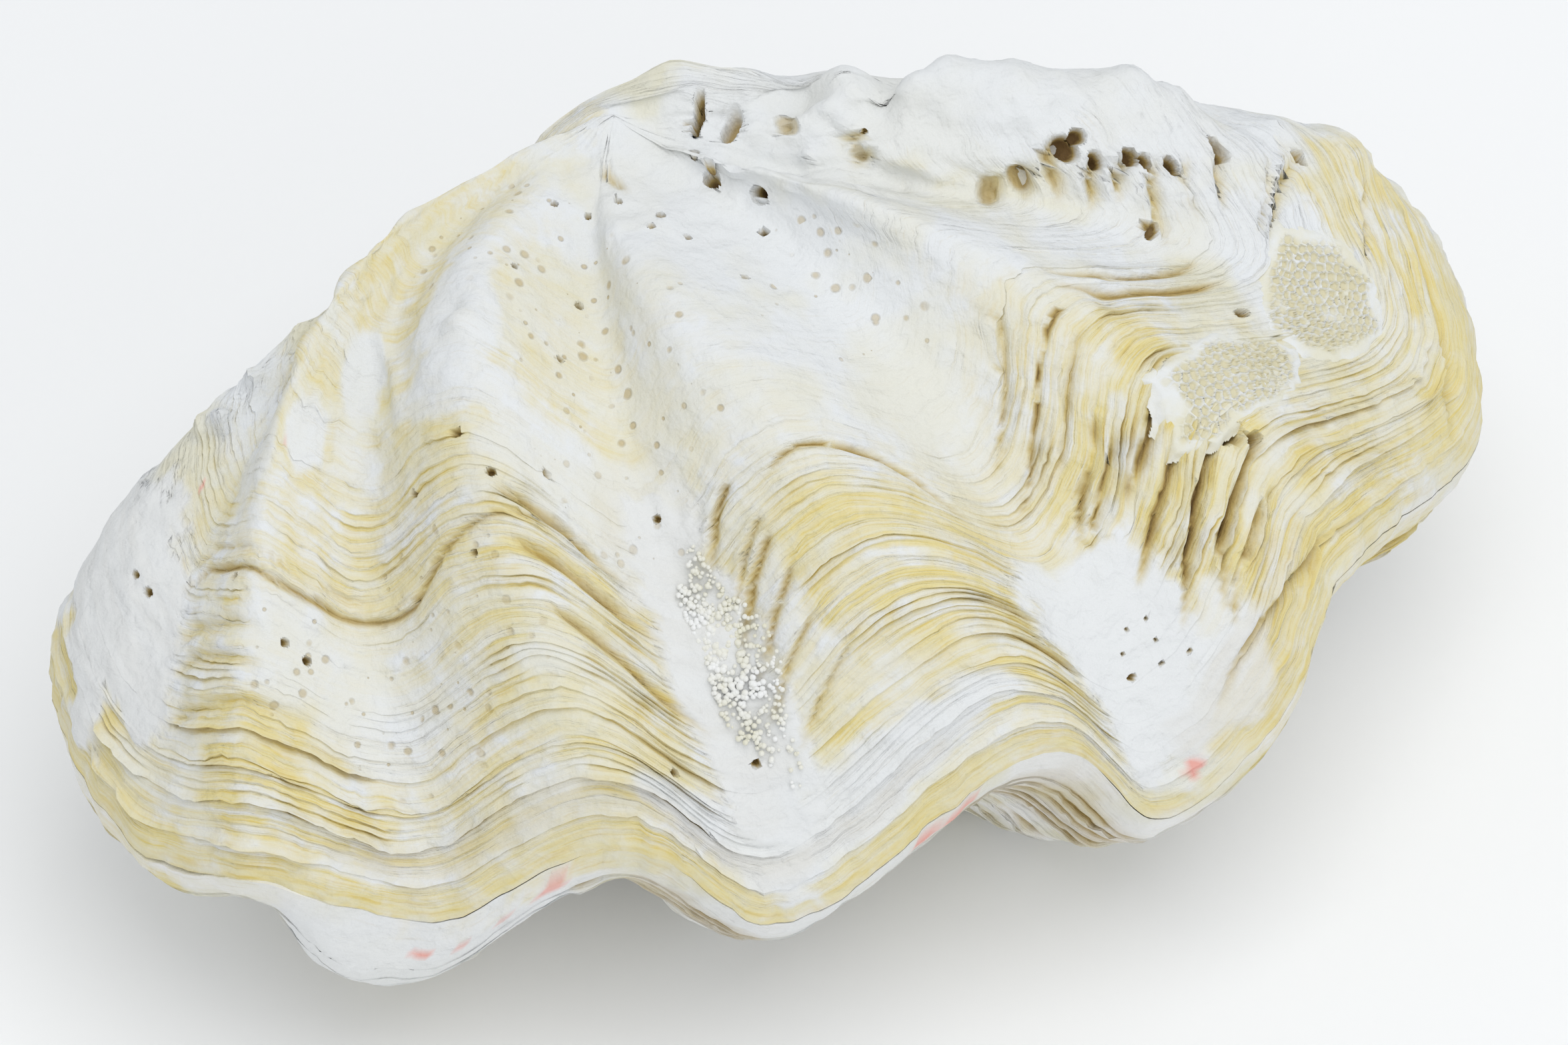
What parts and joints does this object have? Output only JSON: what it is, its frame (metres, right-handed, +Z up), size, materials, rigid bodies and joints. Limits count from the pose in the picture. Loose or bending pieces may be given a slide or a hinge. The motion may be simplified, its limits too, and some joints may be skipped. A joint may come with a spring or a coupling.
{
  "type": "clam shell",
  "caption": "Closed pair of fluted clam valves with broad ribs, stepped growth ledges and a wavy opening, standing on its worn lower valve.",
  "frame": {"origin": "middle of the pair's bounding box in plan, at the level it rests on", "axes": "+X along the length towards the broad right end, -Y towards the wavy opening, +Z up through the ribbed upper valve"},
  "size_m": [0.3028, 0.163, 0.1428],
  "materials": {
    "upper_shell": "chalky, dull",
    "lower_shell": "chalky, dull"
  },
  "bodies": {
    "root": {"upper_valve": "upper_shell", "lower_valve": "lower_shell"}
  },
  "joints": []
}
